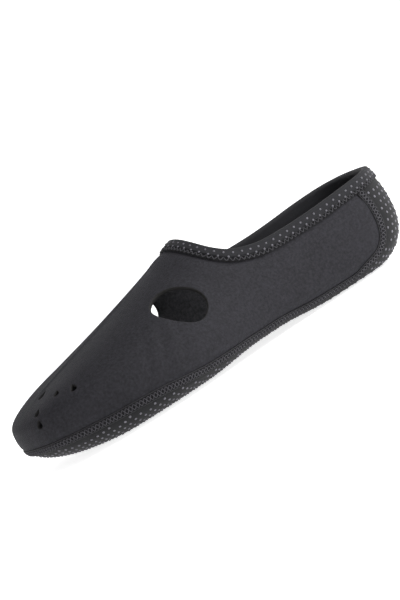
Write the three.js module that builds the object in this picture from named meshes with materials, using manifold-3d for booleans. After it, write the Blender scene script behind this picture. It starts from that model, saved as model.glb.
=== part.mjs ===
// Low-cut neoprene water shoe for a left foot, standing unbent on its sole.
// Millimetres. +X points to the toe, +Y to the outer side, +Z up.
// The origin lies on the floor, under the middle of the shoe's length and width.
import * as THREE from 'three';
import { mergeVertices } from 'three/addons/utils/BufferGeometryUtils.js';
import Module from 'manifold-3d';

// Driving dimensions of the last
const SHOE_LENGTH = 255;
const BALL_WIDTH = 94;
const HEEL_WIDTH = 66;
const INSTEP_HEIGHT = 72.5;
const WIDEST_HEIGHT = 21;
const TOE_SPRING = 6;
const SPRING_LENGTH = 45;
const ARCH_LIFT = 2.4;
const ARCH_LEAN = 0.4;
const SOLE_PRESS = 0.9;

// Where the fans of ribs at heel and toe have their centres, from either end
const HEEL_FAN = 34;
const TOE_FAN = 43;

// Sheet thicknesses, the gap between pieces and the raised trim
const UPPER_WALL = 2.5;
const SOLE_WALL = 3;
const INSOLE_THICKNESS = 1.8;
const PIECE_GAP = 0.3;
const SEAM_WIDTH = 5;
const SEAM_THICKNESS = 0.9;
const BINDING_WIDTH = 7.5;
const BINDING_THICKNESS = 1;

// Collar heights at the side's lowest point and at the heel tab
const COLLAR_LOW = 48.7;
const HEEL_TAB_HEIGHT = 51.2;

// Height of the sole's turned-up edge beside the ball, and the heel panel's depth from the back
const SOLE_EDGE_HEIGHT = 12;
const HEEL_PANEL_DEPTH = 20.5;

// Height up to which the insole's rim turns up inside
const INSOLE_RIM = 9;

// Oval cut-outs in both sides of the instep
const OVAL_LENGTH = 32;
const OVAL_HEIGHT = 24.6;
const OVAL_SQUARENESS = 2.3;
const OVAL_SLANT = 50;
const OVAL_FROM_TOE = 101;
const OVAL_DOWN = 0.588;

// Vent holes in the toe box
const VENT_LENGTH = 5.6;
const VENT_WIDTH = 4.2;

// How finely the forms are meshed, and the small step that finds a surface's direction
const SIDE_STEPS = 17;
const FAN_STEPS = 12;
const SOLE_ROWS = 6;
const UPPER_ROWS = 9;
const OUTLINE_STEPS = 360;
const OVAL_STEPS = 20;
const LINE_STEPS = 42;
const TEAR_STEPS = 3;
const NUDGE = 0.01;

// Where along the sides the ribs lie closest, as a share of the way from heel fan to toe
// fan, and how much closer than evenly they lie there
const THROAT_SHARE = 0.44;
const THROAT_CLOSER = 0.4;

// Reach of the cutting shapes beyond the shoe
const BEYOND = 60;

// Plan outline: share of the length from the heel, and the half widths to the outer and the
// inner side as shares of the local width, which runs from heel width to ball width
const OUTLINE = [
  { at: 0.017, outer: 0.245, inner: 0.245 },
  { at: 0.065, outer: 0.43, inner: 0.43 },
  { at: 0.13, outer: 0.497, inner: 0.497 },
  { at: 0.2, outer: 0.508, inner: 0.492 },
  { at: 0.29, outer: 0.491, inner: 0.446 },
  { at: 0.39, outer: 0.466, inner: 0.386 },
  { at: 0.49, outer: 0.466, inner: 0.376 },
  { at: 0.59, outer: 0.485, inner: 0.413 },
  { at: 0.68, outer: 0.505, inner: 0.466 },
  { at: 0.76, outer: 0.496, inner: 0.498 },
  { at: 0.835, outer: 0.45, inner: 0.49 },
  { at: 0.9, outer: 0.37, inner: 0.447 },
  { at: 0.95, outer: 0.27, inner: 0.38 },
  { at: 0.985, outer: 0.135, inner: 0.28 },
];
const TOE_POINT_INNER = 0.085;
const WAIST_START = 0.2;
const WAIST_END = 0.68;

// Stretches of the sole as shares of the length: where the arch rises and comes down, and
// where the flat under the ball runs out
const ARCH = { start: 0.24, full: 0.4, falling: 0.46, end: 0.62 };
const BALL_FLAT = { full: 0.8, end: 0.9 };

// Crest of the last as a share of the instep height, its sideways lean as a share of the ball
// width, the widest height as a share of its dimension, and how square the section is
const SECTIONS = [
  { at: 0, crest: 0.88, lean: 0, widest: 1.5, topPower: 2.3, solePower: 2.4 },
  { at: 0.13, crest: 1.28, lean: 0, widest: 1.2, topPower: 2.2, solePower: 2.8 },
  { at: 0.3, crest: 1.27, lean: -0.01, widest: 1, topPower: 2, solePower: 3 },
  { at: 0.38, crest: 1.17, lean: -0.03, widest: 1, topPower: 1.95, solePower: 3 },
  { at: 0.43, crest: 1.08, lean: -0.045, widest: 1, topPower: 1.92, solePower: 3 },
  { at: 0.482, crest: 1, lean: -0.055, widest: 1, topPower: 1.9, solePower: 3.1 },
  { at: 0.56, crest: 0.905, lean: -0.065, widest: 1, topPower: 1.95, solePower: 3.2 },
  { at: 0.65, crest: 0.81, lean: -0.065, widest: 0.98, topPower: 2.05, solePower: 3.2 },
  { at: 0.74, crest: 0.722, lean: -0.06, widest: 0.96, topPower: 2.2, solePower: 3.2 },
  { at: 0.83, crest: 0.64, lean: -0.055, widest: 0.98, topPower: 2.5, solePower: 3.1 },
  { at: 0.89, crest: 0.58, lean: -0.06, widest: 1.03, topPower: 3, solePower: 3 },
  { at: 0.945, crest: 0.525, lean: -0.07, widest: 1.08, topPower: 3.8, solePower: 3 },
  { at: 1, crest: 0.47, lean: -0.085, widest: 1.1, topPower: 4.4, solePower: 3 },
];

// Side view of the collar: a share of the rise to the instep, or of the rise to the heel tab
const COLLAR = [
  { at: -0.06, toInstep: 0, toTab: 0.5 },
  { at: 0, toInstep: 0, toTab: 0.75 },
  { at: 0.03, toInstep: 0, toTab: 1 },
  { at: 0.07, toInstep: 0, toTab: 0.95 },
  { at: 0.11, toInstep: 0, toTab: 0.75 },
  { at: 0.157, toInstep: 0, toTab: 0.5 },
  { at: 0.213, toInstep: 0, toTab: 0.16 },
  { at: 0.266, toInstep: 0, toTab: 0 },
  { at: 0.316, toInstep: 0.005, toTab: 0 },
  { at: 0.361, toInstep: 0.03, toTab: 0 },
  { at: 0.4, toInstep: 0.12, toTab: 0 },
  { at: 0.434, toInstep: 0.26, toTab: 0 },
  { at: 0.459, toInstep: 0.49, toTab: 0 },
  { at: 0.474, toInstep: 0.74, toTab: 0 },
  { at: 0.483, toInstep: 1, toTab: 0 },
  { at: 0.491, toInstep: 1.4, toTab: 0 },
  { at: 0.496, toInstep: 2, toTab: 0 },
];

// Side view of the seam between upper and sole along the foot, heights as shares of the
// sole edge's height
const SOLE_LINE = [
  { at: 1.06, height: 1.4 },
  { at: 1, height: 1.24 },
  { at: 0.961, height: 1.2 },
  { at: 0.882, height: 1.12 },
  { at: 0.765, height: 1.03 },
  { at: 0.7, height: 0.89 },
  { at: 0.62, height: 0.73 },
  { at: 0.5, height: 0.68 },
  { at: 0.41, height: 0.63 },
  { at: 0.32, height: 0.46 },
];

// The same seam where it turns up the heel: how far in front of the heel panel's edge it
// lies, as a share of the panel's depth, and its height as a share of the heel tab's
const HEEL_LINE = [
  { forward: 1.62, height: 0.094 },
  { forward: 1.34, height: 0.112 },
  { forward: 1.06, height: 0.143 },
  { forward: 0.7, height: 0.18 },
  { forward: 0.42, height: 0.255 },
  { forward: 0.25, height: 0.37 },
  { forward: 0.17, height: 0.51 },
  { forward: 0.17, height: 0.69 },
  { forward: 0.28, height: 0.88 },
  { forward: 0.38, height: 1.05 },
  { forward: 0.55, height: 1.6 },
];

// Vent holes: the direction from the toe fan's centre in degrees, positive to the outer
// side, how far down from the crest they lie, and their size beside the named one
const VENTS = [
  { bearing: 12, down: 0.18, size: 1.25 },
  { bearing: 24, down: 0.55, size: 1 },
  { bearing: 27, down: 0.88, size: 1 },
  { bearing: 46, down: 0.38, size: 0.95 },
  { bearing: 64, down: 0.54, size: 1.05 },
  { bearing: -32, down: 0.55, size: 1 },
  { bearing: -35, down: 0.86, size: 1 },
  { bearing: -54, down: 0.38, size: 0.95 },
  { bearing: -72, down: 0.54, size: 1.05 },
];

const HEEL_BACK = -SHOE_LENGTH / 2;

const wasm = await Module();
wasm.setup();

// Lengths along the shoe

function along(at) {
  return HEEL_BACK + at * SHOE_LENGTH;
}

function shareAt(x) {
  return (x - HEEL_BACK) / SHOE_LENGTH;
}

// A smooth value from a table's column, by a cubic through the rows
function lookUp(table, column, at) {
  const last = table.length - 1;
  if (at <= table[0].at) {
    return table[0][column];
  }
  if (at >= table[last].at) {
    return table[last][column];
  }
  const slope = (i) => {
    const before = table[Math.max(i - 1, 0)];
    const after = table[Math.min(i + 1, last)];
    return (after[column] - before[column]) / (after.at - before.at);
  };
  const i = table.findIndex((row) => row.at > at) - 1;
  const step = table[i + 1].at - table[i].at;
  const t = (at - table[i].at) / step;
  const rise = t * t * (3 - 2 * t);
  return table[i][column] * (1 - rise) + table[i + 1][column] * rise
    + slope(i) * step * t * (1 - t) * (1 - t)
    - slope(i + 1) * step * t * t * (1 - t);
}

// The last

function localWidth(at) {
  return THREE.MathUtils.lerp(HEEL_WIDTH, BALL_WIDTH, THREE.MathUtils.smoothstep(at, WAIST_START, WAIST_END));
}

function planOutline() {
  const outer = OUTLINE.map((row) => new THREE.Vector3(along(row.at), row.outer * localWidth(row.at), 0));
  const inner = OUTLINE.map((row) => new THREE.Vector3(along(row.at), -row.inner * localWidth(row.at), 0));
  const heel = new THREE.Vector3(HEEL_BACK, 0, 0);
  const toe = new THREE.Vector3(along(1), -TOE_POINT_INNER * BALL_WIDTH, 0);
  const loop = new THREE.CatmullRomCurve3([heel, ...outer, toe, ...inner.reverse()], true, 'catmullrom', 0.5);
  return loop.getPoints(OUTLINE_STEPS);
}

const outlinePoints = planOutline();

// How far a ray in plan runs from a point inside the outline to the outline
function reachFrom(x, y, dirX, dirY) {
  for (let i = 0; i < outlinePoints.length - 1; i += 1) {
    const a = outlinePoints[i];
    const b = outlinePoints[i + 1];
    const edgeX = b.x - a.x;
    const edgeY = b.y - a.y;
    const cross = dirX * edgeY - dirY * edgeX;
    const ray = ((a.x - x) * edgeY - (a.y - y) * edgeX) / cross;
    const share = ((a.x - x) * dirY - (a.y - y) * dirX) / cross;
    if (ray > 0 && share >= 0 && share <= 1) {
      return ray;
    }
  }
  throw new Error('a rib misses the outline');
}

// A rib stands on the middle line at x and runs out in plan by its bearing, where 0 is
// straight to the toe and 90 degrees is to the outer side
function ribAt(x, bearing) {
  const y = lookUp(SECTIONS, 'lean', shareAt(x)) * BALL_WIDTH;
  const dirX = Math.cos(THREE.MathUtils.degToRad(bearing));
  const dirY = Math.sin(THREE.MathUtils.degToRad(bearing));
  return { x, y, dirX, dirY, length: reachFrom(x, y, dirX, dirY) };
}

function keelHeight(at, side) {
  const fromToe = (1 - at) * SHOE_LENGTH;
  const spring = TOE_SPRING * Math.max(0, (SPRING_LENGTH - fromToe) / SPRING_LENGTH) ** 2;
  const arch = THREE.MathUtils.smoothstep(at, ARCH.start, ARCH.full)
    - THREE.MathUtils.smoothstep(at, ARCH.falling, ARCH.end);
  const press = SOLE_PRESS * (1 - THREE.MathUtils.smoothstep(at, BALL_FLAT.full, BALL_FLAT.end));
  return spring + arch * (ARCH_LIFT + SOLE_PRESS) * (1 - ARCH_LEAN * side) - press;
}

// Point of the last's outside on a rib: turn -1 is the middle of the sole, 0 the widest
// line and 1 the crest
function lastPoint(rib, turn) {
  const edgeAt = shareAt(rib.x + rib.dirX * rib.length);
  const widest = lookUp(SECTIONS, 'widest', edgeAt) * WIDEST_HEIGHT;
  const power = lookUp(SECTIONS, turn > 0 ? 'topPower' : 'solePower', edgeAt);
  const angle = Math.abs(turn) * Math.PI / 2;
  const out = Math.abs(turn) === 1 ? 0 : Math.cos(angle) ** (2 / power);
  const rise = Math.sin(angle) ** (2 / power);
  const x = rib.x + rib.dirX * rib.length * out;
  const y = rib.y + rib.dirY * rib.length * out;
  const crest = lookUp(SECTIONS, 'crest', shareAt(x)) * INSTEP_HEIGHT;
  const keel = keelHeight(shareAt(x), out * rib.dirY);
  const z = turn > 0 ? widest + (crest - widest) * rise : widest - (widest - keel) * rise;
  return new THREE.Vector3(x, y, Math.max(z, 0));
}

// Place of a side rib, close to its neighbours where the collar turns down from the instep
function sideStation(step) {
  const t = step / SIDE_STEPS;
  const wave = Math.sin(2 * Math.PI * (t - THROAT_SHARE)) + Math.sin(2 * Math.PI * THROAT_SHARE);
  const heelX = HEEL_BACK + HEEL_FAN;
  const toeX = along(1) - TOE_FAN;
  return THREE.MathUtils.lerp(heelX, toeX, t - THROAT_CLOSER * wave / (2 * Math.PI));
}

// Ribs round the last: the outer side towards the toe, round the toe, the inner side back,
// and round the heel
function ribsRound() {
  const ribs = [];
  for (let i = 0; i < SIDE_STEPS; i += 1) {
    ribs.push(ribAt(sideStation(i), 90));
  }
  for (let i = 0; i < FAN_STEPS; i += 1) {
    ribs.push(ribAt(sideStation(SIDE_STEPS), 90 - 180 * i / FAN_STEPS));
  }
  for (let i = 0; i < SIDE_STEPS; i += 1) {
    ribs.push(ribAt(sideStation(SIDE_STEPS - i), -90));
  }
  for (let i = 0; i < FAN_STEPS; i += 1) {
    ribs.push(ribAt(sideStation(0), -90 - 180 * i / FAN_STEPS));
  }
  return ribs;
}

function lastGeometry() {
  const ribs = ribsRound();
  const positions = [];
  const indices = [];
  const rows = SOLE_ROWS + UPPER_ROWS;
  for (const rib of ribs) {
    for (let j = 0; j <= rows; j += 1) {
      const turn = j < SOLE_ROWS ? j / SOLE_ROWS - 1 : (j - SOLE_ROWS) / UPPER_ROWS;
      positions.push(...lastPoint(rib, turn).toArray());
    }
  }
  for (let i = 0; i < ribs.length; i += 1) {
    const next = (i + 1) % ribs.length;
    for (let j = 0; j < rows; j += 1) {
      const a = i * (rows + 1) + j;
      const b = next * (rows + 1) + j;
      indices.push(a, a + 1, b, b, a + 1, b + 1);
    }
  }
  const geometry = new THREE.BufferGeometry();
  geometry.setAttribute('position', new THREE.Float32BufferAttribute(positions, 3));
  geometry.setIndex(indices);
  return withoutSlivers(mergeVertices(geometry, 1e-4));
}

// Triangles that lost a side when their corners were merged are left out
function withoutSlivers(geometry) {
  const index = geometry.getIndex().array;
  const kept = [];
  for (let i = 0; i < index.length; i += 3) {
    const [a, b, c] = index.slice(i, i + 3);
    if (a !== b && b !== c && c !== a) {
      kept.push(a, b, c);
    }
  }
  geometry.setIndex(kept);
  geometry.computeVertexNormals();
  return geometry;
}

const lastSurface = lastGeometry();

// Solids and cuts

function toSolid(geometry) {
  const bare = geometry.clone();
  bare.deleteAttribute('normal');
  bare.deleteAttribute('uv');
  const merged = mergeVertices(bare, 1e-4);
  const vertProperties = new Float32Array(merged.getAttribute('position').array);
  const triVerts = new Uint32Array(merged.getIndex().array);
  return new wasm.Manifold(new wasm.Mesh({ numProp: 3, vertProperties, triVerts }));
}

function toGeometry(solid) {
  const mesh = solid.getMesh();
  const geometry = new THREE.BufferGeometry();
  geometry.setAttribute('position', new THREE.BufferAttribute(mesh.vertProperties, 3));
  geometry.setIndex(new THREE.BufferAttribute(mesh.triVerts, 1));
  geometry.computeVertexNormals();
  return geometry;
}

// The last's form, grown outwards by a distance or shrunk by a negative one
function form(distance) {
  const geometry = lastSurface.clone();
  const position = geometry.getAttribute('position');
  const normal = geometry.getAttribute('normal');
  for (let i = 0; i < position.count; i += 1) {
    position.setXYZ(
      i,
      position.getX(i) + normal.getX(i) * distance,
      position.getY(i) + normal.getY(i) * distance,
      position.getZ(i) + normal.getZ(i) * distance,
    );
  }
  return toSolid(geometry);
}

// A side-view outline in x and z, run through the shoe from side to side
function sideCutter(points) {
  const depth = BALL_WIDTH + 2 * BEYOND;
  const geometry = new THREE.ExtrudeGeometry(new THREE.Shape(points), { depth, bevelEnabled: false });
  geometry.rotateX(Math.PI / 2);
  geometry.translate(0, depth / 2, 0);
  return toSolid(geometry);
}

function smoothLine(points) {
  return new THREE.SplineCurve(points).getSpacedPoints(LINE_STEPS);
}

// A line in side view moved to its left by a distance
function shifted(line, distance) {
  return line.map((point, i) => {
    const before = line[Math.max(i - 1, 0)];
    const after = line[Math.min(i + 1, line.length - 1)];
    const heading = after.clone().sub(before).normalize();
    return new THREE.Vector2(point.x - heading.y * distance, point.y + heading.x * distance);
  });
}

// The collar's edge in side view, from behind the heel to above the instep
function collarLine() {
  return smoothLine(COLLAR.map((row) => new THREE.Vector2(
    along(row.at),
    COLLAR_LOW + row.toInstep * (INSTEP_HEIGHT - COLLAR_LOW) + row.toTab * (HEEL_TAB_HEIGHT - COLLAR_LOW),
  )));
}

// The seam between upper and sole in side view, from before the toe to above the heel
function seamLine() {
  const side = SOLE_LINE.map((row) => new THREE.Vector2(along(row.at), row.height * SOLE_EDGE_HEIGHT));
  const panelEdge = HEEL_BACK + HEEL_PANEL_DEPTH;
  const heel = HEEL_LINE.map((row) => new THREE.Vector2(
    panelEdge + row.forward * HEEL_PANEL_DEPTH,
    row.height * HEEL_TAB_HEIGHT,
  ));
  return smoothLine([...side, ...heel]);
}

// Everything above the collar's edge, moved up by a distance
function aboveCollar(distance) {
  const line = shifted(collarLine(), distance);
  const top = line[line.length - 1].y + BEYOND;
  return sideCutter([...line, new THREE.Vector2(line[line.length - 1].x, top), new THREE.Vector2(line[0].x, top)]);
}

// Everything under the seam and behind the heel panel's edge, grown by a distance
function belowSeam(distance) {
  const line = shifted(seamLine(), -distance);
  const back = HEEL_BACK - BEYOND;
  return sideCutter([
    ...line,
    new THREE.Vector2(back, line[line.length - 1].y),
    new THREE.Vector2(back, -BEYOND),
    new THREE.Vector2(line[0].x, -BEYOND),
  ]);
}

// A strip in side view that lies evenly to both sides of a line
function stripAlong(line, width) {
  return sideCutter([...shifted(line, width / 2), ...shifted(line, -width / 2).reverse()]);
}

// A cutter through the wall, square to its surface, at a rib's point below the crest. The
// shape's X axis runs down the rib.
function squareCutter(shape, x, bearing, down, depth) {
  const turn = 1 - down;
  const centre = lastPoint(ribAt(x, bearing), turn);
  const below = lastPoint(ribAt(x, bearing), turn - NUDGE).sub(centre).normalize();
  const beside = lastPoint(ribAt(x, bearing + 1), turn).sub(centre);
  const outward = below.clone().cross(beside).normalize();
  const geometry = new THREE.ExtrudeGeometry(shape, { depth, bevelEnabled: false, curveSegments: TEAR_STEPS });
  geometry.translate(0, 0, -depth / 2);
  geometry.applyMatrix4(new THREE.Matrix4().makeBasis(below, outward.clone().cross(below), outward));
  geometry.translate(centre.x, centre.y, centre.z);
  return toSolid(geometry);
}

// An oval cut-out on the outer side, 1, or the inner side, -1, that rises to the toe
function ovalCutter(side) {
  const lean = side * THREE.MathUtils.degToRad(90 - OVAL_SLANT);
  const squared = (part) => Math.sign(part) * Math.abs(part) ** (2 / OVAL_SQUARENESS);
  const points = [];
  for (let i = 0; i < OVAL_STEPS; i += 1) {
    const angle = 2 * Math.PI * i / OVAL_STEPS;
    const point = new THREE.Vector2(
      squared(Math.cos(angle)) * OVAL_LENGTH / 2,
      squared(Math.sin(angle)) * OVAL_HEIGHT / 2,
    );
    points.push(point.rotateAround(new THREE.Vector2(), lean));
  }
  return squareCutter(new THREE.Shape(points), along(1) - OVAL_FROM_TOE, 90 * side, OVAL_DOWN, OVAL_HEIGHT);
}

// A rounded teardrop, its tip along -X
function tearShape(length, width) {
  const shape = new THREE.Shape();
  shape.moveTo(-0.55 * length, 0);
  shape.quadraticCurveTo(-0.1 * length, 0.5 * width, 0.15 * length, 0.5 * width);
  shape.quadraticCurveTo(0.45 * length, 0.45 * width, 0.45 * length, 0);
  shape.quadraticCurveTo(0.45 * length, -0.45 * width, 0.15 * length, -0.5 * width);
  shape.quadraticCurveTo(-0.1 * length, -0.5 * width, -0.55 * length, 0);
  return shape;
}

// A vent hole through the toe box, its tip to the crest
function ventCutter(vent) {
  const shape = tearShape(VENT_LENGTH * vent.size, VENT_WIDTH * vent.size);
  return squareCutter(shape, sideStation(SIDE_STEPS), vent.bearing, vent.down, 4 * UPPER_WALL);
}

// Pieces

function upperSolid() {
  let solid = form(0).subtract(form(-UPPER_WALL));
  solid = solid.subtract(aboveCollar(0)).subtract(belowSeam(PIECE_GAP / 2));
  solid = solid.subtract(ovalCutter(1)).subtract(ovalCutter(-1));
  for (const vent of VENTS) {
    solid = solid.subtract(ventCutter(vent));
  }
  return solid;
}

function soleSolid() {
  const shell = form(0).subtract(form(-SOLE_WALL));
  return shell.intersect(belowSeam(-PIECE_GAP / 2)).subtract(aboveCollar(0));
}

function insoleSolid() {
  const top = SOLE_WALL + PIECE_GAP;
  const sheet = form(-top).subtract(form(-top - INSOLE_THICKNESS));
  const front = along(1) + BEYOND;
  const back = HEEL_BACK - BEYOND;
  const rim = [
    new THREE.Vector2(back, -BEYOND),
    new THREE.Vector2(front, -BEYOND),
    new THREE.Vector2(front, INSOLE_RIM + TOE_SPRING),
    new THREE.Vector2(along(1) - SPRING_LENGTH, INSOLE_RIM),
    new THREE.Vector2(back, INSOLE_RIM),
  ];
  return sheet.intersect(sideCutter(rim));
}

// The fold-over edge covers the collar's rim on both faces
function bindingSolid() {
  const inside = SOLE_WALL + PIECE_GAP;
  const shell = form(PIECE_GAP + BINDING_THICKNESS).subtract(form(-inside - BINDING_THICKNESS));
  const band = shell.subtract(aboveCollar(PIECE_GAP + BINDING_THICKNESS));
  const covered = form(PIECE_GAP).subtract(form(-inside)).subtract(aboveCollar(PIECE_GAP));
  return band.intersect(aboveCollar(-BINDING_WIDTH)).subtract(covered);
}

// The raised flat seam lies over the joint between upper and sole, up to the binding
function seamSolid() {
  const shell = form(PIECE_GAP + SEAM_THICKNESS).subtract(form(PIECE_GAP));
  return shell.intersect(stripAlong(seamLine(), SEAM_WIDTH)).subtract(aboveCollar(-BINDING_WIDTH - PIECE_GAP));
}

function piece(name, solid, color, roughness) {
  const material = new THREE.MeshStandardMaterial({ color, roughness, metalness: 0 });
  const mesh = new THREE.Mesh(toGeometry(solid), material);
  mesh.name = name;
  return mesh;
}

const shoe = new THREE.Group();
shoe.add(piece('upper', upperSolid(), 0x3b3a3f, 0.9));
shoe.add(piece('sole', soleSolid(), 0x29292b, 0.85));
shoe.add(piece('insole', insoleSolid(), 0x2f2f32, 0.9));
shoe.add(piece('collar_binding', bindingSolid(), 0x303034, 0.8));
shoe.add(piece('sole_seam', seamSolid(), 0x353539, 0.75));

// The shoe is centred over the origin and set down on the floor
const box = new THREE.Box3().setFromObject(shoe);
const middle = box.getCenter(new THREE.Vector3());
shoe.position.set(-middle.x, -middle.y, -box.min.z);

export default shoe;
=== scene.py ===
# Low-cut neoprene water shoe for a left foot: its looks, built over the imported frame.
# Metres. +X points to the toe, +Y to the outer side, +Z up.
import functools
import math
from types import SimpleNamespace

import bpy
import numpy as np
from bpy.props import FloatProperty, FloatVectorProperty, PointerProperty
from bpy.types import Operator, Panel, PropertyGroup
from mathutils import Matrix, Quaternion, Vector
from mathutils.bvhtree import BVHTree
from mathutils.interpolate import poly_3d_calc


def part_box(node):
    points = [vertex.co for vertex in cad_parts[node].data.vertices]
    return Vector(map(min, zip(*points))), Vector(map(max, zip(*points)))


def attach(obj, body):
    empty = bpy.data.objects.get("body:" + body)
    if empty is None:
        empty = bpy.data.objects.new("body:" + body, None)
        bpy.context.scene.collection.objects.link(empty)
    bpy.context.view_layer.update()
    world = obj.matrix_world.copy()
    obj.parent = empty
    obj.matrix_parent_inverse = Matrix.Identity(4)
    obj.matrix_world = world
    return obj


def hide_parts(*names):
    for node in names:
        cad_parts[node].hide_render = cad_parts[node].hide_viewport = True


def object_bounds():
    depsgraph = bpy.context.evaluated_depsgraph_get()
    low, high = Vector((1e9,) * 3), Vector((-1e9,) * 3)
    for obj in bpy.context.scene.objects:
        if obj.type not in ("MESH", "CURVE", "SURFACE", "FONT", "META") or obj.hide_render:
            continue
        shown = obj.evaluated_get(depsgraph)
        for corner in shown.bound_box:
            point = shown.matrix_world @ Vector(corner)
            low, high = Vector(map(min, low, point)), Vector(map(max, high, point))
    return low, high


bl_info = {
    "name": "Water Shoe",
    "version": (1, 0, 0),
    "blender": (4, 5, 0),
    "location": "View3D > Sidebar > Water Shoe",
    "description": "Builds a low-cut neoprene water shoe over its frame",
    "category": "Add Mesh",
}

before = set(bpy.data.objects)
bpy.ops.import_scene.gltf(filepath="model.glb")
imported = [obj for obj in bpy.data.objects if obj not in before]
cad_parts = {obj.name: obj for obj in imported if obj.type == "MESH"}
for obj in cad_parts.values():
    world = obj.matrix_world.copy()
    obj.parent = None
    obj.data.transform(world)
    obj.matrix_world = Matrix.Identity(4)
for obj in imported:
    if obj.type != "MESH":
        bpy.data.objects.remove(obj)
cad_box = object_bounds()

MM = 0.001
SOLE_LOW, SOLE_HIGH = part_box("sole")
UPPER_LOW, UPPER_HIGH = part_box("upper")

# How finely the last is meshed, and how many pieces of a curve lie between two of its points
SIDE_RIBS = 128
TOE_RIBS = 104
HEEL_RIBS = 78
SOLE_ROWS = 44
UPPER_ROWS = 66
RIB_SAMPLES = 160
OUTLINE_STEPS = 24
LINE_STEPS = 10
OVAL_STEPS = 96
TEAR_STEPS = 8
CHUNK = 6000
EDGE_TURNS = 5
DOT_SIDES = 8
THREAD_SIDES = 5
ZIGZAG_STEPS = 8
TRACK_STEP = 1.2 * MM
SQUARELY = 0.001
WELD = 0.002 * MM
NUDGE = 0.01


def table(names, *rows):
    """Rows of numbers under named columns."""
    return [dict(zip(names.split(), row)) for row in rows]



# Plan outline: share of the length from the heel, and the half widths to the outer and the
# inner side as shares of the local width, which runs from heel width to ball width
OUTLINE = table(
    "at outer inner",
    (0.017, 0.245, 0.245),
    (0.065, 0.43, 0.43),
    (0.13, 0.497, 0.497),
    (0.2, 0.508, 0.492),
    (0.29, 0.491, 0.446),
    (0.39, 0.466, 0.386),
    (0.49, 0.466, 0.376),
    (0.59, 0.485, 0.413),
    (0.68, 0.505, 0.466),
    (0.76, 0.496, 0.498),
    (0.835, 0.45, 0.49),
    (0.9, 0.37, 0.447),
    (0.95, 0.27, 0.38),
    (0.985, 0.135, 0.28),
)
TOE_POINT_INNER = 0.085
WAIST_START = 0.2
WAIST_END = 0.68

# Stretches of the sole as shares of the length
ARCH = {"start": 0.24, "full": 0.4, "falling": 0.46, "end": 0.62}
BALL_FLAT = {"full": 0.8, "end": 0.9}

# Crest of the last as a share of the instep height, its sideways lean as a share of the ball
# width, the widest height as a share of its size, and how square the section is
SECTIONS = table(
    "at crest lean widest top_power sole_power",
    (0, 0.88, 0, 1.5, 2.3, 2.4),
    (0.13, 1.28, 0, 1.2, 2.2, 2.8),
    (0.3, 1.27, -0.01, 1, 2, 3),
    (0.38, 1.17, -0.03, 1, 1.95, 3),
    (0.43, 1.08, -0.045, 1, 1.92, 3),
    (0.482, 1, -0.055, 1, 1.9, 3.1),
    (0.56, 0.905, -0.065, 1, 1.95, 3.2),
    (0.65, 0.81, -0.065, 0.98, 2.05, 3.2),
    (0.74, 0.722, -0.06, 0.96, 2.2, 3.2),
    (0.83, 0.64, -0.055, 0.98, 2.5, 3.1),
    (0.89, 0.58, -0.06, 1.03, 3, 3),
    (0.945, 0.525, -0.07, 1.08, 3.8, 3),
    (1, 0.47, -0.085, 1.1, 4.4, 3),
)

# Side view of the collar: a share of the rise to the instep, or of the rise to the heel tab
COLLAR = table(
    "at instep tab",
    (-0.06, 0, 0.5),
    (0, 0, 0.75),
    (0.03, 0, 1),
    (0.07, 0, 0.95),
    (0.11, 0, 0.75),
    (0.157, 0, 0.5),
    (0.213, 0, 0.16),
    (0.266, 0, 0),
    (0.316, 0.005, 0),
    (0.361, 0.03, 0),
    (0.4, 0.12, 0),
    (0.434, 0.26, 0),
    (0.459, 0.49, 0),
    (0.474, 0.74, 0),
    (0.483, 1, 0),
    (0.491, 1.4, 0),
    (0.496, 2, 0),
)

# Side view of the seam between upper and sole along the foot, heights as shares of the
# sole edge's height
SOLE_LINE = table(
    "at height",
    (1.06, 1.4),
    (1, 1.24),
    (0.961, 1.2),
    (0.882, 1.12),
    (0.765, 1.03),
    (0.7, 0.89),
    (0.62, 0.73),
    (0.5, 0.68),
    (0.41, 0.63),
    (0.32, 0.46),
)

# The same seam where it turns up the heel: how far in front of the heel panel's edge it
# lies, as a share of the panel's depth, and its height as a share of the heel tab's
HEEL_LINE = table(
    "forward height",
    (1.62, 0.094),
    (1.34, 0.112),
    (1.06, 0.143),
    (0.7, 0.18),
    (0.42, 0.255),
    (0.25, 0.37),
    (0.17, 0.51),
    (0.17, 0.69),
    (0.28, 0.88),
    (0.38, 1.05),
    (0.55, 1.6),
)

# Vent holes: the direction from the toe fan's centre in degrees, positive to the outer
# side, how far down from the crest they lie, and their size beside the named one
VENTS = table(
    "bearing down size",
    (12, 0.18, 1.25),
    (24, 0.55, 1),
    (27, 0.88, 1),
    (46, 0.38, 0.95),
    (64, 0.54, 1.05),
    (-32, 0.55, 1),
    (-35, 0.86, 1),
    (-54, 0.38, 0.95),
    (-72, 0.54, 1.05),
)


def length(name, description, default):
    """A length that a user may change."""
    return FloatProperty(name=name, description=description, default=default, unit="LENGTH", precision=5)


def number(name, description, default, unit="NONE"):
    """A plain number that a user may change."""
    return FloatProperty(name=name, description=description, default=default, unit=unit)


def angle(name, description, degrees):
    """An angle that a user may change."""
    return FloatProperty(name=name, description=description, default=math.radians(degrees), subtype="ANGLE")


def colour(name, description, default):
    """A colour that a user may change, in linear light."""
    return FloatVectorProperty(
        name=name, description=description, default=default, subtype="COLOR", size=3, min=0, max=1
    )


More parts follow.
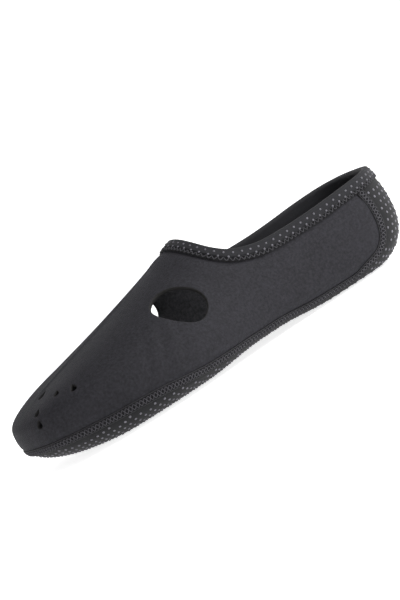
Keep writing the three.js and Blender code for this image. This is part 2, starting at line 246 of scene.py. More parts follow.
class LastSizes(PropertyGroup):
    """Driving sizes of the last and of what is cut out of the upper."""

    shoe_length: length("Shoe length", "From the back of the heel to the toe", UPPER_HIGH.x - SOLE_LOW.x)
    ball_width: length("Ball width", "Width that the forefoot's outline is measured by", 94 * MM)
    heel_width: length("Heel width", "Width that the heel's outline is measured by", 66 * MM)
    instep_height: length("Instep height", "Height of the crest at the front of the collar", 72.5 * MM)
    widest_height: length("Widest height", "Height of the last's widest line", 21 * MM)
    toe_spring: length("Toe spring", "Height of the sole under the tip of the toe", 6 * MM)
    spring_length: length("Spring length", "Length of the sole that rises at the toe", 45 * MM)
    arch_lift: length("Arch lift", "Height of the sole under the arch", 2.4 * MM)
    arch_lean: number("Arch lean", "How much more the inner side rises", 0.4)
    sole_press: length("Sole press", "Depth of the last that the floor presses flat", 0.9 * MM)
    heel_fan: length("Heel fan", "From the back to the centre of the heel's ribs", 34 * MM)
    toe_fan: length("Toe fan", "From the toe to the centre of the toe's ribs", 43 * MM)
    collar_low: length("Collar low", "Height of the collar beside the ankle", 48.7 * MM)
    heel_tab: length("Heel tab", "Height of the collar at the heel", 51.2 * MM)
    sole_edge: length("Sole edge", "Height of the sole's turned-up edge beside the ball", 12 * MM)
    heel_panel: length("Heel panel", "Depth of the heel panel in side view", 20.5 * MM)
    oval_length: length("Oval length", "Length of the side cut-outs", 32 * MM)
    oval_height: length("Oval height", "Height of the side cut-outs", 24.6 * MM)
    oval_square: number("Oval squareness", "Power of the oval's curve", 2.3)
    oval_slant: angle("Oval slant", "Rise of the cut-outs to the toe", 50)
    oval_from_toe: length("Oval from toe", "From the toe to the middle of the cut-outs", 101 * MM)
    oval_down: number("Oval down", "How far below the crest they lie", 0.588)
    vent_length: length("Vent length", "Length of a vent hole", 5.6 * MM)
    vent_width: length("Vent width", "Width of a vent hole", 4.2 * MM)


class ClothSizes(PropertyGroup):
    """Thicknesses and trims of the sewn pieces."""

    upper_wall: length("Upper wall", "Thickness of the upper's sheet", 2.5 * MM)
    sole_wall: length("Sole wall", "Thickness of the sole's sheet", 3 * MM)
    insole_wall: length("Insole thickness", "Thickness of the insole", 1.8 * MM)
    insole_rim: length("Insole rim", "Height up to which the insole turns up", 9 * MM)
    gap: length("Gap", "Clearance between pieces", 0.3 * MM)
    edge_round: length("Edge rounding", "How far a cut edge bulges", 0.45 * MM)
    seam_width: length("Seam width", "Width of the raised flat seam", 5 * MM)
    seam_raise: length("Seam raise", "Height of the seam's tape", 0.4 * MM)
    thread: length("Thread", "Radius of the sewing thread", 0.24 * MM)
    zigzag: length("Zigzag", "Length of one zigzag of the seam", 4.4 * MM)
    binding_width: length("Binding width", "Width of the fold-over edge", 7.3 * MM)
    binding_cloth: length("Binding cloth", "Thickness of the fold-over edge's cloth", 0.9 * MM)
    dot_width: length("Dot width", "Width of a grip dot", 1.5 * MM)
    dot_height: length("Dot height", "Height of a grip dot", 0.4 * MM)
    dot_pitch: length("Dot pitch", "Distance of grip dots in a row of the sole", 6 * MM)
    binding_pitch: length("Binding dot pitch", "Distance of grip dots along the binding", 4.7 * MM)


class ShoeColours(PropertyGroup):
    """Colours of the shoe's finishes, in linear light."""

    neoprene: colour("Neoprene", "Knit face of the upper", (0.017, 0.0165, 0.0199))
    lining: colour("Lining", "Knit face on the inside", (0.03, 0.03, 0.033))
    foam: colour("Foam", "Bare foam of the cut edges", (0.012, 0.0115, 0.0115))
    sole_cloth: colour("Sole cloth", "Woven cloth of the sole", (0.0105, 0.0105, 0.0115))
    dots: colour("Dots", "Grip dots", (0.1, 0.096, 0.115))
    thread: colour("Thread", "Sewing thread", (0.042, 0.0405, 0.047))
    binding: colour("Binding", "Cloth of the fold-over edge", (0.0135, 0.0135, 0.0155))
    insole: colour("Insole", "Face cloth of the insole", (0.018, 0.018, 0.019))


class StageSettings(PropertyGroup):
    """Camera, light and floor."""

    azimuth: angle("Azimuth", "Camera's way round the shoe", 157)
    elevation: angle("Elevation", "Camera's height as an angle", 6)
    roll: angle("Roll", "Camera's roll", -30)
    view_height: length("View height", "Height of the picture at the shoe", 0.328)
    focal: number("Focal length", "Camera's lens in millimetres", 240)
    sky: number("Sky", "Strength of the surrounding light", 0.3)
    glow: number("Floor glow", "Light that the floor gives by itself", 0.78)
    key: number("Key", "Power of the key light", 3.6, "POWER")
    fill: number("Fill", "Power of the top light", 4.0, "POWER")
    floor: colour("Floor", "Colour of the floor", (0.9, 0.9, 0.9))


# Curves and distances


def look_up(table, column, at):
    """A smooth value from a table's column, by a cubic through the rows."""
    rows = np.array([row["at"] for row in table], float)
    values = np.array([row[column] for row in table], float)
    last = len(rows) - 1
    before = np.maximum(np.arange(last + 1) - 1, 0)
    after = np.minimum(np.arange(last + 1) + 1, last)
    slopes = (values[after] - values[before]) / (rows[after] - rows[before])
    at = np.clip(at, rows[0], rows[last])
    i = np.clip(np.searchsorted(rows, at, side="right") - 1, 0, last - 1)
    step = rows[i + 1] - rows[i]
    t = (at - rows[i]) / step
    rise = t * t * (3 - 2 * t)
    leave = slopes[i] * step * t * (1 - t) ** 2
    reach = slopes[i + 1] * step * t * t * (1 - t)
    return values[i] * (1 - rise) + values[i + 1] * rise + leave - reach


def smooth_step(value, low, high):
    """0 below low, 1 above high and a soft rise between them."""
    t = np.clip((value - low) / (high - low), 0, 1)
    return t * t * (3 - 2 * t)


def window(value, low, high, soft):
    """1 from low to high, with soft ends outside them."""
    return smooth_step(value, low - soft, low) * (1 - smooth_step(value, high, high + soft))


def hump(value, width):
    """1 where value is 0, falling away over the width."""
    return np.exp(-((value / width) ** 2))


def smooth_path(points, steps, closed=False):
    """Points on a smooth curve through the given ones, as many in each span."""
    p = np.array(points, float)
    p = np.vstack([p[-1], p, p[0], p[1]]) if closed else np.vstack([p[0], p, p[-1]])
    t = np.linspace(0, 1, steps, endpoint=False)[:, None]
    spans = []
    for a, b, c, d in zip(p, p[1:], p[2:], p[3:]):
        leave, reach = (c - a) / 2, (d - b) / 2
        cubic = 2 * b - 2 * c + leave + reach
        square = 3 * c - 3 * b - 2 * leave - reach
        spans.append(cubic * t**3 + square * t**2 + leave * t + b)
    path = np.vstack(spans)
    return path if closed else np.vstack([path, p[-2]])


def beside(points, path):
    """Signed distance of flat points to a path, positive on the path's left. Where two edges
    of the path are equally near, the one that is seen more squarely tells the side."""
    start, edge = path[:-1], path[1:] - path[:-1]
    square = (edge**2).sum(1)
    signed = np.empty(len(points))
    for first in range(0, len(points), CHUNK):
        p = points[first:first + CHUNK, None]
        t = np.clip(((p - start) * edge).sum(2) / square, 0, 1)
        away = p - start - t[..., None] * edge
        distance = np.hypot(away[..., 0], away[..., 1])
        turn = (edge[:, 0] * away[..., 1] - edge[:, 1] * away[..., 0]) / np.sqrt(square)
        near = (distance - SQUARELY * np.abs(turn)).argmin(1)
        row = np.arange(len(near))
        signed[first:first + CHUNK] = np.where(turn[row, near] >= 0, 1, -1) * distance[row, near]
    return signed


def unit(vectors):
    """Vectors of length one."""
    size = np.linalg.norm(vectors, axis=-1, keepdims=True)
    return vectors / np.maximum(size, 1e-12)


def arc_lengths(path):
    """Distance along a path at each of its points."""
    steps = np.linalg.norm(np.diff(path, axis=0), axis=1)
    return np.concatenate([[0], np.cumsum(steps)])


# Meshes on the last


class Skin:
    """A mesh of triangles with a point, and the last's outward normal there, at each corner."""

    def __init__(self, points, faces, normals=None):
        self.points = points
        self.faces = faces
        self.normals = self.own_normals() if normals is None else normals

    def own_normals(self):
        """Outward normals from the faces round each point."""
        a, b, c = (self.points[self.faces[:, k]] for k in range(3))
        face = np.cross(b - a, c - a)
        total = np.zeros_like(self.points)
        for k in range(3):
            np.add.at(total, self.faces[:, k], face)
        return unit(total)

    def edges(self):
        """Each face's three edges, in its direction."""
        return np.vstack([self.faces[:, [0, 1]], self.faces[:, [1, 2]], self.faces[:, [2, 0]]])

    def crossings(self, level):
        """Points where the edges pass through level 0, and each such edge's number."""
        edges = np.unique(np.sort(self.edges(), axis=1), axis=0)
        edges = edges[(level[edges[:, 0]] > 0) != (level[edges[:, 1]] > 0)]
        a, b = edges[:, 0], edges[:, 1]
        t = (level[a] / (level[a] - level[b]))[:, None]
        points = self.points[a] * (1 - t) + self.points[b] * t
        normals = unit(self.normals[a] * (1 - t) + self.normals[b] * t)
        number = {(int(p), int(q)): i for i, (p, q) in enumerate(edges)}
        return points, normals, number

    def kept(self, level):
        """The part where level is above 0, cut cleanly through the faces at the edge."""
        inside = level > 0
        count = inside[self.faces].sum(1)
        points, normals, number = self.crossings(level)
        first = len(self.points)

        def on_edge(p, q):
            return first + number[(min(p, q), max(p, q))]

        faces = [tuple(face) for face in self.faces[count == 3]]
        crossed = (count == 1) | (count == 2)
        for face, lone in zip(self.faces[crossed], count[crossed] == 1):
            turn = next(k for k in range(3) if inside[face[k]] == lone)
            a, b, c = (int(face[(turn + k) % 3]) for k in range(3))
            if lone:
                faces.append((a, on_edge(a, b), on_edge(a, c)))
            else:
                faces.append((on_edge(a, b), b, c))
                faces.append((on_edge(a, b), c, on_edge(a, c)))
        whole = Skin(np.vstack([self.points, points]), np.array(faces), np.vstack([self.normals, normals]))
        return whole.tidied()

    def tidied(self):
        """The same skin without the points that no face uses."""
        used = np.unique(self.faces)
        place = np.full(len(self.points), -1)
        place[used] = np.arange(len(used))
        return Skin(self.points[used], place[self.faces], self.normals[used])

    def without(self, cuts):
        """The part that lies outside every cut."""
        skin = self
        for cut in cuts:
            skin = skin.kept(-cut(skin.points))
        return skin

    def moved(self, distance):
        """The skin pushed out along its normals by a distance or by one for each point."""
        shift = self.normals * np.reshape(distance, (-1, 1))
        return Skin(self.points + shift, self.faces, self.normals)

    def rim(self):
        """The edges that only one face has, in that face's direction."""
        edges = self.edges()
        ordered = np.sort(edges, axis=1)
        _, back, count = np.unique(ordered, axis=0, return_inverse=True, return_counts=True)
        return edges[count[back.ravel()] == 1]

    def line_at(self, level):
        """The longest line on the skin where level is 0, as points and normals in order."""
        points, normals, number = self.crossings(level)
        inside = level > 0
        count = inside[self.faces].sum(1)
        links = {}
        for face in self.faces[(count == 1) | (count == 2)]:
            pairs = [(int(face[k]), int(face[(k + 1) % 3])) for k in range(3)]
            a, b = [number[(min(pair), max(pair))] for pair in pairs if (min(pair), max(pair)) in number]
            links.setdefault(a, []).append(b)
            links.setdefault(b, []).append(a)
        best = []
        while links:
            start = next((k for k, near in links.items() if len(near) == 1), next(iter(links)))
            chain = [start]
            while True:
                here = chain[-1]
                onward = [k for k in links.pop(here) if k in links and k not in chain[-2:-1]]
                if not onward:
                    break
                chain.append(onward[0])
            best = max(best, chain, key=len)
        return points[best], normals[best]


def welded(points, faces):
    """Joins points that lie together and leaves out the faces that this flattens."""
    grid = np.round(points / WELD).astype(np.int64)
    _, first, place = np.unique(grid, axis=0, return_index=True, return_inverse=True)
    faces = place.ravel()[faces]
    flat = (faces[:, 0] == faces[:, 1]) | (faces[:, 1] == faces[:, 2]) | (faces[:, 2] == faces[:, 0])
    return points[first], faces[~flat]


def wall(skin, thickness, bulge, cuts):
    """A sheet of that thickness inside the skin, with its cut edges bulging a little. Returns
    points, faces and, for each face, 0 on the outside, 1 on the inside and 2 on a cut edge."""
    count = len(skin.points)
    inner = skin.points - skin.normals * thickness
    rim = skin.rim()
    corners = np.unique(rim)
    nearness = np.array([np.abs(cut(skin.points[corners])) for cut in cuts])
    slopes = np.array([slope(cut, skin.points[corners]) for cut in cuts])
    outward = slopes[nearness.argmin(0), np.arange(len(corners))]
    normal = skin.normals[corners]
    outward = unit(outward - normal * (outward * normal).sum(1, keepdims=True))
    place = np.full(count, -1)
    place[corners] = np.arange(len(corners))
    points = [skin.points, inner]
    rings = [lambda at: at]
    for k in range(1, EDGE_TURNS):
        bend = math.pi * k / EDGE_TURNS
        depth = thickness * (1 - math.cos(bend)) / 2
        points.append(skin.points[corners] - normal * depth + outward * bulge * math.sin(bend))
        first = 2 * count + (k - 1) * len(corners)
        rings.append(lambda at, first=first: first + place[at])
    rings.append(lambda at: at + count)
    edge = []
    a, b = rim[:, 0], rim[:, 1]
    for near, far in zip(rings, rings[1:]):
        edge.append(np.stack([near(b), near(a), far(a)], axis=1))
        edge.append(np.stack([near(b), far(a), far(b)], axis=1))
    faces = np.vstack([skin.faces, skin.faces[:, ::-1] + count, *edge])
    kind = np.full(len(faces), 2)
    kind[:len(skin.faces)] = 0
    kind[len(skin.faces):2 * len(skin.faces)] = 1
    return np.vstack(points), faces, kind


def slope(field, points):
    """The direction in which a field of points grows."""
    step = 0.05 * MM
    columns = []
    for axis in range(3):
        shift = np.zeros(3)
        shift[axis] = step
        columns.append((field(points + shift) - field(points - shift)) / (2 * step))
    return np.stack(columns, axis=1)


class Last:
    """The form of the shoe's outside, as ribs on a middle line from heel to toe. A rib runs out
    in plan from the middle line at x by its bearing, where 0 is to the toe and 90 degrees to
    the outer side. Along a rib, turn -1 is the middle of the sole, 0 the widest line and 1
    the crest."""

    def __init__(self, sizes):
        self.sizes = sizes
        self.back = -sizes.shoe_length / 2
        self.heel_x = self.back + sizes.heel_fan
        self.toe_x = self.back + sizes.shoe_length - sizes.toe_fan
        self.outline = self.plan_outline()
        self.seam_line = self.side_seam()
        self.collar_line = self.side_collar()
        self.skin = self.surface()
        corners = [Vector(p) for p in self.skin.points]
        self.tree = BVHTree.FromPolygons(corners, self.skin.faces.tolist(), all_triangles=True)
        self.corners = corners
        across = self.outline[:, 1]
        self.place = np.array([
            (UPPER_HIGH.x + SOLE_LOW.x) / 2,
            (UPPER_HIGH.y - across.max() + UPPER_LOW.y - across.min()) / 2,
            0,
        ])

    def along(self, at):
        """Place on the length for a share of it from the heel."""
        return self.back + np.asarray(at) * self.sizes.shoe_length

    def share(self, x):
        """Share of the length from the heel."""
        return (x - self.back) / self.sizes.shoe_length

    def plan_outline(self):
        """Closed outline of the last from above."""
        s = self.sizes
        at = np.array([row["at"] for row in OUTLINE])
        width = s.heel_width + (s.ball_width - s.heel_width) * smooth_step(at, WAIST_START, WAIST_END)
        x = self.along(at)
        outer = np.stack([x, np.array([row["outer"] for row in OUTLINE]) * width], axis=1)
        inner = np.stack([x, -np.array([row["inner"] for row in OUTLINE]) * width], axis=1)
        heel = [self.back, 0]
        toe = [self.along(1), -TOE_POINT_INNER * s.ball_width]
        return smooth_path(np.vstack([heel, outer, toe, inner[::-1]]), OUTLINE_STEPS, closed=True)

    def reach(self, x, y, out_x, out_y):
        """How far rays in plan run to the outline."""
        a, b = self.outline, np.roll(self.outline, -1, axis=0)
        edge = b - a
        x, y, out_x, out_y = (np.asarray(v, float)[:, None] for v in (x, y, out_x, out_y))
        cross = out_x * edge[:, 1] - out_y * edge[:, 0]
        cross = np.where(np.abs(cross) < 1e-15, 1e-15, cross)
        ray = ((a[:, 0] - x) * edge[:, 1] - (a[:, 1] - y) * edge[:, 0]) / cross
        share = ((a[:, 0] - x) * out_y - (a[:, 1] - y) * out_x) / cross
        hit = (ray > 0) & (share >= -1e-9) & (share <= 1 + 1e-9)
        return np.where(hit, ray, np.inf).min(1)

    def keel(self, at, side):
        """Height of the middle of the sole, before the floor presses it."""
        s = self.sizes
        from_toe = (1 - at) * s.shoe_length
        spring = s.toe_spring * np.maximum(0, (s.spring_length - from_toe) / s.spring_length) ** 2
        arch = smooth_step(at, ARCH["start"], ARCH["full"]) - smooth_step(at, ARCH["falling"], ARCH["end"])
        press = s.sole_press * (1 - smooth_step(at, BALL_FLAT["full"], BALL_FLAT["end"]))
        return spring + arch * (s.arch_lift + s.sole_press) * (1 - s.arch_lean * side) - press

    def ribs(self, x, bearing):
        """Ribs as arrays: foot in plan, direction and length."""
        x = np.asarray(x, float)
        angle = np.radians(np.asarray(bearing, float))
        y = look_up(SECTIONS, "lean", self.share(x)) * self.sizes.ball_width
        out_x, out_y = np.cos(angle), np.sin(angle)
        return x, y, out_x, out_y, self.reach(x, y, out_x, out_y)

    def points(self, ribs, turn):
        """Points of the last for each rib and each of its turns, as an array of ribs by turns."""
        s = self.sizes
        x0, y0, out_x, out_y, size = (v[:, None] for v in ribs)
        turn = np.broadcast_to(turn, (len(x0), np.shape(turn)[-1]))
        edge = self.share(x0 + out_x * size)
        widest = look_up(SECTIONS, "widest", edge) * s.widest_height
        top = look_up(SECTIONS, "top_power", edge)
        sole = look_up(SECTIONS, "sole_power", edge)
        power = 2 / np.where(turn > 0, top, sole)
        angle = np.abs(turn) * math.pi / 2
        out = np.where(np.abs(turn) == 1, 0, np.maximum(np.cos(angle), 0) ** power)
        rise = np.sin(angle) ** power
        x = x0 + out_x * size * out
        y = y0 + out_y * size * out
        crest = look_up(SECTIONS, "crest", self.share(x)) * s.instep_height
        keel = self.keel(self.share(x), out * out_y)
        z = np.where(turn > 0, widest + (crest - widest) * rise, widest - (widest - keel) * rise)
        return np.stack([x, y, np.maximum(z, 0)], axis=2)

    def point(self, x, bearing, turn):
        """One point of the last."""
        return self.points(self.ribs([x], [bearing]), np.array([turn]))[0, 0]

    def round_ribs(self):
        """Ribs all round: the outer side, the toe, the inner side and the heel."""
        side = np.linspace(self.heel_x, self.toe_x, SIDE_RIBS, endpoint=False)
        back = np.linspace(self.toe_x, self.heel_x, SIDE_RIBS, endpoint=False)
        toe = 90 - 180 * np.arange(TOE_RIBS) / TOE_RIBS
        heel = -90 - 180 * np.arange(HEEL_RIBS) / HEEL_RIBS
        x = np.concatenate([side, np.full(TOE_RIBS, self.toe_x), back, np.full(HEEL_RIBS, self.heel_x)])
        bearing = np.concatenate([np.full(SIDE_RIBS, 90), toe, np.full(SIDE_RIBS, -90), heel])
        return self.ribs(x, bearing)

    def surface(self):
        """The whole last as one skin, with its rows evenly spaced along each rib."""
        ribs = self.round_ribs()
        halves = []
        for low, high, rows in ((-1, 0, SOLE_ROWS), (0, 1, UPPER_ROWS)):
            turn = np.linspace(low, high, RIB_SAMPLES)
            fine = self.points(ribs, turn)
            even = np.empty((len(fine), rows + 1))
            for i, path in enumerate(fine):
                run = arc_lengths(path)
                even[i] = np.interp(np.linspace(0, run[-1], rows + 1), run, turn)
            halves.append(self.points(ribs, even))
        grid = np.concatenate([halves[0][:, :-1], halves[1]], axis=1)
        count, rows = grid.shape[:2]
        i, j = np.meshgrid(np.arange(count), np.arange(rows - 1), indexing="ij")
        a = (i * rows + j).ravel()
        b = ((i + 1) % count * rows + j).ravel()
        faces = np.vstack([np.stack([a, a + 1, b], axis=1), np.stack([b, a + 1, b + 1], axis=1)])
        return Skin(*welded(grid.reshape(-1, 3), faces))

    def drop(self, points):
        """The nearest points of the last, with its normals there."""
        found = np.empty((len(points), 3))
        normals = np.empty((len(points), 3))
        for i, point in enumerate(points):
            place, _, face, _ = self.tree.find_nearest(Vector(point))
            corners = self.skin.faces[face]
            share = poly_3d_calc([self.corners[k] for k in corners], place)
            found[i] = place
            normals[i] = np.array(share) @ self.skin.normals[corners]
        return found, unit(normals)

    def side_collar(self):
        """The collar's edge in side view, from behind the heel to above the instep."""
        s = self.sizes
        to_instep, to_tab = s.instep_height - s.collar_low, s.heel_tab - s.collar_low
        return smooth_path([
            (self.along(row["at"]), s.collar_low + row["instep"] * to_instep + row["tab"] * to_tab)
            for row in COLLAR
        ], LINE_STEPS)

    def side_seam(self):
        """The seam between upper and sole in side view, from the toe to above the heel."""
        s = self.sizes
        side = [(self.along(row["at"]), row["height"] * s.sole_edge) for row in SOLE_LINE]
        edge = self.back + s.heel_panel
        heel = [(edge + row["forward"] * s.heel_panel, row["height"] * s.heel_tab) for row in HEEL_LINE]
        return smooth_path(side + heel, LINE_STEPS)

    def below_seam(self, points):
        """Distance under or behind the seam in side view, positive on the sole's side."""
        return beside(points[:, [0, 2]], self.seam_line)

    def above_collar(self, points):
        """Distance above the collar in side view."""
        return beside(points[:, [0, 2]], self.collar_line)

    def hole(self, x, bearing, down, line):
        """A function that gives the distance into a hole, cut square to the surface at a rib's
        point. The line's X axis runs down the rib."""
        turn = 1 - down
        centre = self.point(x, bearing, turn)
        below = unit(self.point(x, bearing, turn - NUDGE) - centre)
        near = self.point(x, bearing + 1, turn) - centre
        outward = unit(np.cross(below, near))
        across = np.cross(outward, below)
        far = 2 * np.abs(line).max()

        def field(points):
            offset = points - centre
            level = np.full(len(points), -far)
            close = np.linalg.norm(offset, axis=1) < far
            flat = np.stack([offset[close] @ below, offset[close] @ across], axis=1)
            level[close] = beside(flat, line)
            return level

        return field

    def holes(self):
        """The distances into the oval cut-outs and the vents."""
        s = self.sizes
        found = []
        for side in (1, -1):
            lean = side * (math.pi / 2 - s.oval_slant)
            line = oval_line(s.oval_length, s.oval_height, s.oval_square, lean)
            found.append(self.hole(self.along(1) - s.oval_from_toe, 90 * side, s.oval_down, line))
        for vent in VENTS:
            line = tear_line(s.vent_length * vent["size"], s.vent_width * vent["size"])
            found.append(self.hole(self.toe_x, vent["bearing"], vent["down"], line))
        return found


def oval_line(size, height, square, lean):
    """A squared ellipse turned by an angle, run round to the left."""
    angle = 2 * np.pi * np.arange(OVAL_STEPS + 1) / OVAL_STEPS

    def squared(part):
        return np.sign(part) * np.abs(part) ** (2 / square)

    a = squared(np.cos(angle)) * size / 2
    b = squared(np.sin(angle)) * height / 2
    cos, sin = math.cos(lean), math.sin(lean)
    return np.stack([a * cos - b * sin, a * sin + b * cos], axis=1)


def tear_line(size, width):
    """A rounded teardrop with its tip along -X, run round to the left."""
    corners = [(-0.55, 0), (-0.1, -0.5), (0.15, -0.5), (0.45, -0.45), (0.45, 0)]
    corners += [(0.45, 0.45), (0.15, 0.5), (-0.1, 0.5), (-0.55, 0)]
    p = np.array(corners) * (size, width)
    t = np.linspace(0, 1, TEAR_STEPS, endpoint=False)[:, None]
    arcs = [(1 - t) ** 2 * a + 2 * t * (1 - t) * b + t * t * c for a, b, c in zip(p[::2], p[1::2], p[2::2])]
    return np.vstack([*arcs, p[-1:]])


class Track:
    """A line on the last that can be followed with an offset to its side and a height."""

    def __init__(self, last, points, normals, step, closed):
        self.last = last
        self.closed = closed
        if closed:
            points = np.vstack([points, points[:1]])
            normals = np.vstack([normals, normals[:1]])
        run = arc_lengths(points)
        count = int(round(run[-1] / step))
        self.run = np.linspace(0, run[-1], count + 1)
        self.length = run[-1]
        self.points = self.softened(self.at(run, points, self.run), 3)
        self.normals = unit(self.softened(self.at(run, normals, self.run), 3))
        self.ahead = unit(self.difference(self.points))
        self.sides = unit(np.cross(self.normals, self.ahead))

    @staticmethod
    def at(run, values, where):
        """Values between those given along a run."""
        return np.stack([np.interp(where, run, values[:, k]) for k in range(3)], axis=1)

    def difference(self, values):
        """Change from the point before to the point after."""
        if self.closed:
            ring = values[:-1]
            change = np.roll(ring, -1, axis=0) - np.roll(ring, 1, axis=0)
            return np.vstack([change, change[:1]])
        return np.gradient(values, axis=0)

    def softened(self, values, times):
        """Values evened out between neighbours."""
        for _ in range(times):
            if self.closed:
                ring = values[:-1]
                ring = ring / 2 + (np.roll(ring, 1, axis=0) + np.roll(ring, -1, axis=0)) / 4
                values = np.vstack([ring, ring[:1]])
            else:
                middle = values[1:-1] / 2 + (values[:-2] + values[2:]) / 4
                values = np.vstack([values[:1], middle, values[-1:]])
        return values

    def follow(self, run, offset, height):
        """Points at a distance along, to the left and above, and the normals there."""
        run = np.asarray(run, float)
        if self.closed:
            run = run % self.length
        offset = np.broadcast_to(offset, run.shape)[:, None]
        height = np.broadcast_to(height, run.shape)[:, None]
        base = self.at(self.run, self.points, run)
        side = unit(self.at(self.run, self.sides, run))
        points, normals = self.last.drop(base + side * offset)
        return points + normals * height, normals


def sections(rings, closed):
    """Joins sections of points, each a closed ring, into one body. Open ends get caps."""
    count, size = rings.shape[:2]
    i, j = np.meshgrid(np.arange(count if closed else count - 1), np.arange(size), indexing="ij")
    a = (i * size + j).ravel()
    b = (i * size + (j + 1) % size).ravel()
    c = ((i + 1) % count * size + j).ravel()
    d = ((i + 1) % count * size + (j + 1) % size).ravel()
    faces = [np.stack([a, b, c], axis=1), np.stack([b, d, c], axis=1)]
    points = [rings.reshape(-1, 3)]
    if not closed:
        points.append(np.stack([rings[0].mean(0), rings[-1].mean(0)]))
        j = np.arange(size)
        ahead = (j + 1) % size
        start = np.full(size, count * size)
        faces.append(np.stack([start, ahead, j], axis=1))
        last = (count - 1) * size
        faces.append(np.stack([start + 1, last + j, last + ahead], axis=1))
    return np.vstack(points), np.vstack(faces)


def joined(bodies):
    """Several bodies of points and faces as one."""
    points, faces, first = [], [], 0
    for body_points, body_faces in bodies:
        points.append(body_points)
        faces.append(body_faces + first)
        first += len(body_points)
    return np.vstack(points), np.vstack(faces)


def circles(centres, across, up, radius, angle):
    """Points on circles round the centres, a row for each centre."""
    turn = np.cos(angle)[None, :, None] * across[:, None] + np.sin(angle)[None, :, None] * up[:, None]
    return centres[:, None] + radius * turn


def cord_body(path, normals, radius, closed):
    """A round thread along a path."""
    if closed:
        ahead = unit(np.roll(path, -1, axis=0) - np.roll(path, 1, axis=0))
    else:
        ahead = unit(np.gradient(path, axis=0))
    across = unit(np.cross(normals, ahead))
    up = np.cross(ahead, across)
    angle = 2 * np.pi * np.arange(THREAD_SIDES) / THREAD_SIDES
    return sections(circles(path, across, up, radius, angle), closed)


def domes(centres, normals, width, height):
    """Low round dots that stand on a surface, as one body."""
    sides = DOT_SIDES
    sink = 0.15 * MM
    profile = [(0, -sink), (0.5, -sink), (0.47, 0.45 * height), (0.27, 0.9 * height), (0, height)]
    helper = np.where(np.abs(normals[:, :1]) < 0.7, [[1.0, 0, 0]], [[0, 1.0, 0]])
    across = unit(np.cross(normals, helper))
    ahead = np.cross(normals, across)
    angle = 2 * np.pi * np.arange(sides) / sides
    points = np.concatenate([
        circles(centres + normals * up, across, ahead, radius * width, angle if radius else angle[:1])
        for radius, up in profile
    ], axis=1)
    size = points.shape[1]
    j = np.arange(sides)
    ahead_j = (j + 1) % sides
    faces = [np.stack([np.zeros(sides, int), 1 + ahead_j, 1 + j], axis=1)]
    for ring in range(2):
        low = 1 + ring * sides
        high = low + sides
        faces.append(np.stack([low + j, low + ahead_j, high + j], axis=1))
        faces.append(np.stack([low + ahead_j, high + ahead_j, high + j], axis=1))
    top = 1 + 3 * sides
    faces.append(np.stack([1 + 2 * sides + j, 1 + 2 * sides + ahead_j, np.full(sides, top)], axis=1))
    one = np.vstack(faces)
    faces = (one[None] + size * np.arange(len(centres))[:, None, None]).reshape(-1, 3)
    return points.reshape(-1, 3), faces


# Nodes


class Value:
    """A number that varies over a surface. Arithmetic on it adds Math nodes."""

    def __init__(self, paint, socket):
        self.paint = paint
        self.socket = socket

    def math(self, operation, *terms):
        """The result of one Math node."""
        sockets = dict(zip(("Value", "Value_001", "Value_002"), terms))
        return self.paint.node("ShaderNodeMath", {"operation": operation}, sockets, "Value")

    def __add__(self, other):
        return self.math("ADD", self, other)

    def __radd__(self, other):
        return self.math("ADD", other, self)

    def __sub__(self, other):
        return self.math("SUBTRACT", self, other)

    def __rsub__(self, other):
        return self.math("SUBTRACT", other, self)

    def __mul__(self, other):
        return self.math("MULTIPLY", self, other)

    def __truediv__(self, other):
        return self.math("DIVIDE", self, other)

    def __pow__(self, other):
        return self.math("POWER", self, other)

    def __abs__(self):
        return self.math("ABSOLUTE", self)

    def wave(self):
        """1 at whole numbers and 0 half-way between them."""
        return self.math("COSINE", self * (2 * math.pi)) * 0.5 + 0.5

    def fraction(self):
        """What lies behind the decimal point."""
        return self.math("FRACT", self)


